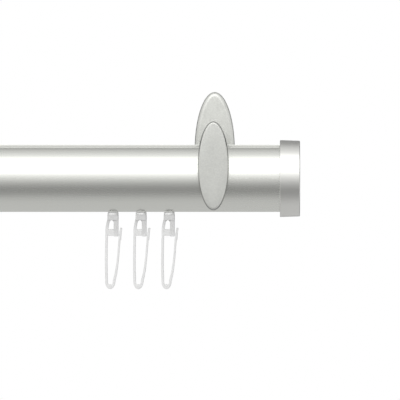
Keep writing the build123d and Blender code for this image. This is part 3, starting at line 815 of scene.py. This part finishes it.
class Tree:
    """A node tree, emptied, to which nodes are added by one method."""

    def __init__(self, owner):
        owner.use_nodes = True
        self.nodes, self.links = owner.node_tree.nodes, owner.node_tree.links
        self.nodes.clear()

    def node(self, kind, settings=None, inputs=None, output=0):
        """Adds a node: its settings, a ramp's stops among them, then its sockets' values or links."""
        made = self.nodes.new(kind)
        for name, value in (settings or {}).items():
            if name == "stops":
                ramp = made.color_ramp
                while len(ramp.elements) < len(value):
                    ramp.elements.new(0.5)
                for element, (place, grey) in zip(ramp.elements, value):
                    element.position, element.color = place, (grey, grey, grey, 1)
            else:
                setattr(made, name, value)
        for name, value in (inputs or {}).items():
            if isinstance(value, Link):
                self.links.new(value.socket, made.inputs[name])
            else:
                made.inputs[name].default_value = value
        return Link(self, made.outputs[output]) if made.outputs else made

    def math(self, operation, *values):
        """A Math node on values or links."""
        return self.node("ShaderNodeMath", {"operation": operation}, dict(enumerate(values)))

    def place(self, scale=(1, 1, 1)):
        """Object coordinates, stretched by scale."""
        at = self.node("ShaderNodeTexCoord", output="Object")
        return self.node("ShaderNodeMapping", None, {"Vector": at, "Scale": scale})

    def part(self, vector, axis):
        """One part of a vector: 0, 1 or 2 for X, Y or Z."""
        return self.node("ShaderNodeSeparateXYZ", None, {0: vector}, output=axis)

    def along(self, axis):
        """How far the surface lies along an axis, in millimetres."""
        return self.part(self.place(), axis) / MM

    def noise(self, scale, at, detail=3.0, rough=0.5):
        """Noise from 0 to 1, with scale waves to the metre."""
        inputs = {"Vector": at, "Scale": scale, "Detail": detail, "Roughness": rough}
        return self.node("ShaderNodeTexNoise", {"normalize": True}, inputs)

    def blend(self, mask, first, second):
        """A colour that goes from first to second with the mask."""
        settings = {"data_type": "RGBA", "clamp_factor": True}
        return self.node("ShaderNodeMix", settings, {0: mask, 6: first, 7: second}, output=2)

    def step(self, value, start, end, low=0.0, high=1.0):
        """A smooth step: low up to start, high from end on."""
        inputs = {"Value": value, "From Min": start, "From Max": end, "To Min": low, "To Max": high}
        return self.node("ShaderNodeMapRange", {"interpolation_type": "SMOOTHSTEP"}, inputs)

    def bump(self, height, strength, distance):
        """A normal tilted by a height from 0 to 1, of distance metres."""
        inputs = {"Height": height, "Strength": strength, "Distance": distance}
        return self.node("ShaderNodeBump", None, inputs)

    def surface(self, **inputs):
        """The Principled shader and the material's output; _ stands for a space in a name."""
        named = {name.replace("_", " "): value for name, value in inputs.items()}
        shader = self.node("ShaderNodeBsdfPrincipled", None, named)
        self.node("ShaderNodeOutputMaterial", None, {"Surface": shader})


def tone(colour, factor):
    """A colour made lighter or darker by a factor, with an alpha of 1."""
    return tuple(min(1.0, part * factor) for part in colour[:3]) + (1.0,)


def drawn_aluminium(looks):
    """Satin anodised tube: faint die lines, slow changes of tone, and a painted shade in the corner by
    the rail.
    """
    tree = Tree(material := bpy.data.materials.new("tube_anodised"))
    lines = tree.noise(1.0, tree.place((6, 1500, 1500)), detail=4.0)
    fine = tree.noise(1.0, tree.place((40, 5200, 5200)), detail=2.0)
    cloud = tree.noise(14.0, tree.place((0.4, 1, 1)), detail=2.0)
    darker, lighter = tone(looks.tube_colour, 0.975), tone(looks.tube_colour, 1.025)
    colour = tree.blend(cloud * 0.6 + lines * 0.4, darker, lighter)
    # painted shade in the inner corner where the shelf meets the rail
    corner_up, reach, rail_shade_tone = RAIL_CORNER_SHADE
    off = (tree.along(2) - (ROD_Z + SHELF_UP + corner_up)) / reach
    corner = tree.math("MAXIMUM", 1 - off * off, 0.0)
    colour = tree.blend(corner, colour, tone(looks.tube_colour, rail_shade_tone))
    tree.surface(
        Base_Color=colour,
        Metallic=1.0,
        Roughness=looks.tube_roughness - 0.03 + lines * 0.04 + cloud * 0.02,
        Normal=tree.bump(lines * 0.6 + fine * 0.4, 0.045, 0.04 * MM),
    )
    return material


def blasted_cap(looks):
    """Cap metal: an even fine blasted grain under the same anodising."""
    tree = Tree(material := bpy.data.materials.new("cap_blasted"))
    grain = tree.noise(2600.0, tree.place(), detail=2.0)
    cloud = tree.noise(60.0, tree.place(), detail=2.0)
    colour = tree.blend(cloud, tone(looks.cap_colour, 0.98), tone(looks.cap_colour, 1.02))
    tree.surface(
        Base_Color=colour,
        Metallic=1.0,
        Roughness=looks.cap_roughness - 0.02 + grain * 0.04,
        Normal=tree.bump(grain, 0.08, 0.03 * MM),
    )
    return material


def silver_paint(looks, name, share=1.0, rim=None):
    """Matt silver paint: flakes that are a little lighter or darker, and a fine grain.

    A rim is a painted shade, as on the plates, or a painted highlight, as on the rosettes, near the
    edge: the places along Y and along Z between which that sets in, and its tone.
    """
    tree = Tree(material := bpy.data.materials.new(name))
    cells = {"Vector": tree.place(), "Scale": 2200.0}
    flakes = tree.node("ShaderNodeTexVoronoi", {"feature": "F1"}, cells, output="Color")
    flake = tree.node("ShaderNodeSeparateColor", None, {"Color": flakes})
    grain = tree.noise(1500.0, tree.place(), detail=3.0, rough=0.6)
    mottle = tree.noise(240.0, tree.place(), detail=3.0, rough=0.6)
    mix = flake * 0.35 + grain * 0.25 + mottle * 0.4
    darker, lighter = (tone(looks.paint_colour, part * share) for part in (0.87, 1.13))
    colour = tree.blend(mix, darker, lighter)
    if rim:
        # painted shade on the plates and painted highlight on the rosettes, near the edge
        along_y, along_z, painted_rim_tone = rim
        painted_shading_mask = tree.step(tree.along(1), *along_y) * tree.step(tree.along(2), *along_z)
        colour = tree.blend(painted_shading_mask, colour, tone(looks.paint_colour, painted_rim_tone))
    tree.surface(
        Base_Color=colour,
        Metallic=PAINT_METAL,
        Roughness=looks.paint_roughness - 0.05 + mottle * 0.06 + flake * 0.04,
        Normal=tree.bump(grain * 0.7 + mottle * 0.3, 0.14, 0.05 * MM),
    )
    return material


def plated_steel(looks):
    """Zinc plating on screws, nuts and base plates: a cloudy spangle over a fine brushed grain."""
    tree = Tree(material := bpy.data.materials.new("zinc_plating"))
    cloud = tree.noise(420.0, tree.place(), detail=4.0, rough=0.65)
    brushed = tree.noise(1.0, tree.place((400, 4000, 900)), detail=2.0)
    colour = tree.blend(cloud, tone(looks.steel_colour, 0.82), tone(looks.steel_colour, 1.1))
    tree.surface(
        Base_Color=colour,
        Metallic=1.0,
        Roughness=STEEL_ROUGHNESS + cloud * 0.14,
        Normal=tree.bump(brushed * 0.5 + cloud * 0.5, 0.12, 0.04 * MM),
    )
    return material


def moulded_plastic(name, colour, roughness, translucence, painted_shade_tone=1.0):
    """A moulded part: a fine spark-eroded grain, slightly uneven colour, and a painted shade of the
    given tone on its thick places, far from its middle, and near its head, which the tube shades."""
    tree = Tree(material := bpy.data.materials.new(name))
    grain = tree.noise(1900.0, tree.place(), detail=2.0)
    flow = tree.noise(190.0, tree.place((1, 1, 0.35)), detail=3.0)
    uneven = tree.blend(flow, tone(colour, 0.98), tone(colour, 1.02))
    # painted shade: darker on the thick head and arm, and near the head, where the tube shades it
    deep = tree.step(tree.math("ABSOLUTE", tree.along(1) - ROD_Y), *PAINTED_SHADE_DEEP)
    up = tree.along(2) - TUBE_BOTTOM
    deep = deep * tree.step(up, ARM_END, PAINTED_SHADE_UP[0], PAINTED_SHADE_ARM, 1.0)
    painted_shading_mask = tree.math("MAXIMUM", deep, tree.step(up, *PAINTED_SHADE_UP))
    tree.surface(
        Base_Color=tree.blend(painted_shading_mask, uneven, tone(colour, painted_shade_tone)),
        Roughness=roughness - 0.05 + grain * 0.06 + flow * 0.04,
        Subsurface_Weight=translucence,
        Subsurface_Radius=(PLASTIC_GLOW, PLASTIC_GLOW, PLASTIC_GLOW),
        Subsurface_Scale=1.0,
        Normal=tree.bump(grain, 0.1, 0.03 * MM),
    )
    return material


FINISHES = {}


def finish(name):
    """One of the rod's materials, made on first use."""
    looks = bpy.context.scene.curtain_rod
    white, hook_white = looks.plastic_colour, tone(looks.plastic_colour, HOOK_TONE)
    makers = {
        "rod_aluminium": lambda: drawn_aluminium(looks),
        "cap_metal": lambda: blasted_cap(looks),
        "rosette_silver": lambda: silver_paint(looks, "rosette_paint", ROSETTE_SHARE, ROSETTE_PAINTED_HIGHLIGHT),
        "plate_silver": lambda: silver_paint(looks, "plate_paint", PLATE_SHARE, PLATE_SHADE),
        "arm_silver": lambda: silver_paint(looks, "arm_paint"),
        "plated_steel": lambda: plated_steel(looks),
        "glider_plastic": lambda: moulded_plastic("glider_white", white, *PLASTIC),
        "hook_plastic": lambda: moulded_plastic("hook_white", hook_white, *PLASTIC, HOOK_PAINTED_SHADE),
        "plug_plastic": lambda: moulded_plastic("plug_grey", looks.plug_colour, *PLUG),
    }
    if name not in FINISHES:
        FINISHES[name] = makers[name]()
    return FINISHES[name]


# Settings, operators and panel


def colour_setting(name, description, default):
    """A colour with its alpha."""
    return bpy.props.FloatVectorProperty(
        name=name, description=description, default=default, subtype="COLOR", size=4, min=0, max=1
    )


def number_setting(name, description, default, **options):
    """A number from 0 up."""
    return bpy.props.FloatProperty(
        name=name, description=description, default=default, min=0, **options
    )


def share_setting(name, description, default):
    """A number from 0 to 1."""
    return number_setting(name, description, default, subtype="FACTOR", max=1)


def length_setting(name, description, default):
    """A length in metres."""
    return number_setting(name, description, default, unit="LENGTH")


class RodSettings(bpy.types.PropertyGroup):
    """Colours and finishes of the rod, and the light and camera of its studio."""

    tube_colour: colour_setting("Tube", "Colour of the anodised tube", (0.83, 0.837, 0.795, 1))
    tube_roughness: share_setting("Tube roughness", "How satin the tube is", 0.27)
    cap_colour: colour_setting("Cap", "Colour of the end caps", (0.83, 0.83, 0.80, 1))
    cap_roughness: share_setting("Cap roughness", "How satin the caps are", 0.3)
    paint_colour: colour_setting("Paint", "Silver paint of the brackets", (0.71, 0.717, 0.682, 1))
    paint_roughness: share_setting("Paint roughness", "How matt the paint is", 0.37)
    steel_colour: colour_setting("Steel", "Screws, nuts and base plates", (0.62, 0.62, 0.6, 1))
    plastic_colour: colour_setting("Gliders", "White of gliders and hooks", (0.9, 0.9, 0.897, 1))
    plug_colour: colour_setting("Plugs", "Grey of the plugs in the tube's ends", (0.3, 0.3, 0.3, 1))
    floor_colour: colour_setting("Floor", "Colour of the floor", (0.86, 0.86, 0.86, 1))
    floor_size: length_setting("Floor size", "Length of the floor's side", 6.0)
    floor_drop: length_setting("Floor depth", "How far the floor lies below the rod", 0.35)
    tent_radius: length_setting("Tent", "Radius of the light tent", 3.0)
    ambient: number_setting("Ambient", "Strength of the light from all round", 0.56)
    key_power: number_setting("Key light", "Power of the large front light", 32.0, unit="POWER")
    camera_distance: length_setting("Camera distance", "From the rod to the camera", 8.0)
    view_width: length_setting("View width", "Width in view at the rod", 0.17706)


class ROD_OT_tube(bpy.types.Operator):
    """Builds the extruded tube with its rail, groove and runner channel"""

    bl_idname = "curtain_rod.tube"
    bl_label = "Rod Tube"

    def execute(self, context):
        slot = "rod_aluminium"
        place_piece(tube_mesh(), "rod_tube", slot, name="tube_surface")
        return {"FINISHED"}


class ROD_OT_end_caps(bpy.types.Operator):
    """Builds the cap over each end of the tube"""

    bl_idname = "curtain_rod.end_caps"
    bl_label = "End Caps"

    def execute(self, context):
        for side, outwards in SIDES.items():
            place_piece(cap_mesh(outwards), f"{side}_end_cap", "cap_metal")
        return {"FINISHED"}


def place_ovals(mesh, piece, material):
    """Places an oval of the bracket at each side."""
    for side in SIDES:
        node = f"{side}_{piece}"
        place_piece(mesh, node, material, node_x(node))


class ROD_OT_rosettes(bpy.types.Operator):
    """Builds the oval rosette of each bracket"""

    bl_idname = "curtain_rod.rosettes"
    bl_label = "Wall Rosettes"

    def execute(self, context):
        place_ovals(rosette_mesh(), "wall_rosette", "rosette_silver")
        return {"FINISHED"}


class ROD_OT_front_plates(bpy.types.Operator):
    """Builds the oval plate in front of the tube at each bracket"""

    bl_idname = "curtain_rod.front_plates"
    bl_label = "Front Plates"

    def execute(self, context):
        place_ovals(plate_mesh(), "front_plate", "plate_silver")
        return {"FINISHED"}


class ROD_OT_gliders(bpy.types.Operator):
    """Builds the gliders that run inside the tube"""

    bl_idname = "curtain_rod.gliders"
    bl_label = "Gliders"

    def execute(self, context):
        mesh = glider_mesh()
        for node in sorted(name for name in frame["nodes"] if "_runner_" in name):
            place_piece(mesh, node, "glider_plastic", node_x(node))
        return {"FINISHED"}


class ROD_OT_hooks(bpy.types.Operator):
    """Builds the pleat hooks on the gliders"""

    bl_idname = "curtain_rod.hooks"
    bl_label = "Pleat Hooks"

    def execute(self, context):
        mesh = hook_mesh()
        for node in sorted(name for name in frame["nodes"] if "_hook_" in name):
            x = node_x(node.replace("hook", "runner"))
            hook = place_piece(mesh, node, "hook_plastic", x)
            hook.visible_glossy = False
        return {"FINISHED"}


class ROD_OT_fittings(bpy.types.Operator):
    """Finishes the arms, base plates, nuts, screws and plugs as the frame has them"""

    bl_idname = "curtain_rod.fittings"
    bl_label = "Fittings"

    def execute(self, context):
        finishes = {"arm": "arm_silver", "cap_plug": "plug_plastic"}
        for name, node in frame["nodes"].items():
            if not node.hide_render:
                node.data.materials[0] = finish(finishes.get(name.split("_", 1)[1], "plated_steel"))
        return {"FINISHED"}


class ROD_OT_studio(bpy.types.Operator):
    """Sets the floor, the light tent, the lamp, the white surroundings and the camera"""

    bl_idname = "curtain_rod.studio"
    bl_label = "Studio"

    def execute(self, context):
        looks = context.scene.curtain_rod
        middle = Vector((0, ROD_Y, ROD_Z)) * MM
        self.set_world(context.scene, looks)
        self.add_floor(looks, middle)
        self.add_tent(looks, middle)
        self.add_key(looks, middle)
        self.add_camera(context.scene, looks)
        context.scene.view_settings.view_transform = "Standard"
        return {"FINISHED"}

    def set_world(self, scene, looks):
        """White for camera, glossy and transmission rays, and an even ambient light for the rest."""
        scene.world = bpy.data.worlds.new("studio_world")
        tree = Tree(scene.world)
        camera, glossy, transmission = (
            tree.node("ShaderNodeLightPath", output=f"Is {kind} Ray")
            for kind in ("Camera", "Glossy", "Transmission")
        )
        seen = camera + glossy + transmission
        plain, white = (
            tree.node("ShaderNodeBackground", None, {"Color": (1, 1, 1, 1), "Strength": strength})
            for strength in (looks.ambient, 1.0)
        )
        mixed = tree.node("ShaderNodeMixShader", None, {0: seen, 1: plain, 2: white})
        tree.node("ShaderNodeOutputWorld", None, {"Surface": mixed})

    def add_floor(self, looks, middle):
        """A flat square: (u, v, 0) below the rod, pale and faintly uneven."""
        half = looks.floor_size / 2
        u, v = np.meshgrid(np.linspace(-half, half, 3), np.linspace(-half, half, 3))
        level = middle.z - looks.floor_drop
        points = np.stack((u, v, np.full_like(u, level)), -1).reshape(-1, 3)
        faces = [[0, 1, 4, 3], [1, 2, 5, 4], [3, 4, 7, 6], [4, 5, 8, 7]]
        mesh = bpy.data.meshes.new("studio_floor")
        mesh.from_pydata(points.tolist(), [], faces)
        floor = add_object("studio_floor", mesh)
        tree = Tree(material := bpy.data.materials.new("pale_floor"))
        cloud = tree.noise(3.0, tree.place(), detail=2.0)
        colour = tree.blend(cloud, tone(looks.floor_colour, 0.99), tone(looks.floor_colour, 1.01))
        tree.surface(Base_Color=colour, Roughness=0.8)
        mesh.materials.append(material)
        floor.visible_glossy = False

    def add_tent(self, looks, middle):
        """A sphere round the rod, seen only in its reflections. Its tone goes by the angle
        atan2(z, -y) round the rod, and changes to a tone of its own towards the rod's ends."""
        around, up = TENT_STEPS
        turns = np.radians(np.linspace(0, 360, around, endpoint=False))
        tilts = np.radians(np.linspace(-TENT_TOP, TENT_TOP, up))
        radius = looks.tent_radius / MM
        x = radius * np.cos(tilts)[:, None] * np.cos(turns)
        y = radius * np.cos(tilts)[:, None] * np.sin(turns)
        z = np.broadcast_to(radius * np.sin(tilts)[:, None], x.shape)
        mesh = shell(np.stack((x, y, z), -1) + np.array(middle) / MM)
        tent = add_object("light_tent", mesh)
        tree = Tree(material := bpy.data.materials.new("tent_cloth"))
        at = tree.node("ShaderNodeTexCoord", output="Object")
        at = tree.node("ShaderNodeVectorMath", {"operation": "SUBTRACT"}, {0: at, 1: middle})
        at = tree.node("ShaderNodeVectorMath", {"operation": "NORMALIZE"}, {0: at})
        to_end, to_wall, upward = (tree.part(at, axis) for axis in range(3))
        turn = tree.math("ARCTAN2", upward, 0 - to_wall) / (2 * np.pi) + 0.5
        stops = [((angle + 180) / 360, value) for angle, value in TENT_TONES]
        round_rod = tree.node("ShaderNodeValToRGB", {"stops": stops}, {"Fac": turn})
        aside = tree.step(tree.math("ABSOLUTE", to_end), *TENT_ASIDE)
        light = tree.blend(aside, round_rod, tree.step(to_wall, *TENT_BESIDE))
        glow = tree.node("ShaderNodeEmission", None, {"Color": light, "Strength": TENT_STRENGTH})
        tree.node("ShaderNodeOutputMaterial", None, {"Surface": glow})
        material.cycles.emission_sampling = "NONE"
        mesh.materials.append(material)
        tent.visible_camera = tent.visible_diffuse = tent.visible_shadow = False
        tent.visible_transmission = tent.visible_volume_scatter = False

    def add_key(self, looks, middle):
        """A large soft lamp in front, to the left and hardly raised; reflections leave it out."""
        lamp = bpy.data.lights.new("key_light", "AREA")
        lamp.shape = "RECTANGLE"
        lamp.size, lamp.size_y = KEY_SIZE
        lamp.energy = looks.key_power
        key = add_object("key_light", lamp)
        aim(key, middle, Vector(KEY_BACK))
        key.visible_glossy = False

    def add_camera(self, scene, looks):
        """A long lens, level and in front, a little to the right of what it looks at."""
        data = bpy.data.cameras.new("photo_camera")
        camera = add_object("photo_camera", data)
        aim(camera, Vector(CAMERA_TARGET), Vector(CAMERA_BACK) * looks.camera_distance)
        data.sensor_width = SENSOR_WIDTH
        data.lens = SENSOR_WIDTH * looks.camera_distance / looks.view_width
        data.clip_start, data.clip_end = 0.1, 200.0
        scene.camera = camera


OPERATORS = (
    ROD_OT_tube,
    ROD_OT_end_caps,
    ROD_OT_rosettes,
    ROD_OT_front_plates,
    ROD_OT_gliders,
    ROD_OT_hooks,
    ROD_OT_fittings,
    ROD_OT_studio,
)


class ROD_PT_panel(bpy.types.Panel):
    """The rod's pieces and settings in the sidebar"""

    bl_label = "Curtain Rod"
    bl_idname = "ROD_PT_panel"
    bl_space_type = "VIEW_3D"
    bl_region_type = "UI"
    bl_category = "Curtain Rod"

    def draw(self, context):
        for operator in OPERATORS:
            self.layout.operator(operator.bl_idname)
        for name in RodSettings.__annotations__:
            self.layout.prop(context.scene.curtain_rod, name)


CLASSES = (RodSettings, *OPERATORS, ROD_PT_panel)


def register():
    """Adds the rod's settings, operators and panel."""
    for cls in CLASSES:
        bpy.utils.register_class(cls)
    bpy.types.Scene.curtain_rod = bpy.props.PointerProperty(type=RodSettings)


def unregister():
    """Takes them away again."""
    del bpy.types.Scene.curtain_rod
    for cls in reversed(CLASSES):
        bpy.utils.unregister_class(cls)


def main():
    """Builds the rod and its studio."""
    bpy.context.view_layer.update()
    register()
    for operator in OPERATORS:
        group, name = operator.bl_idname.split(".")
        getattr(getattr(bpy.ops, group), name)()


if __name__ == "__main__":
    main()
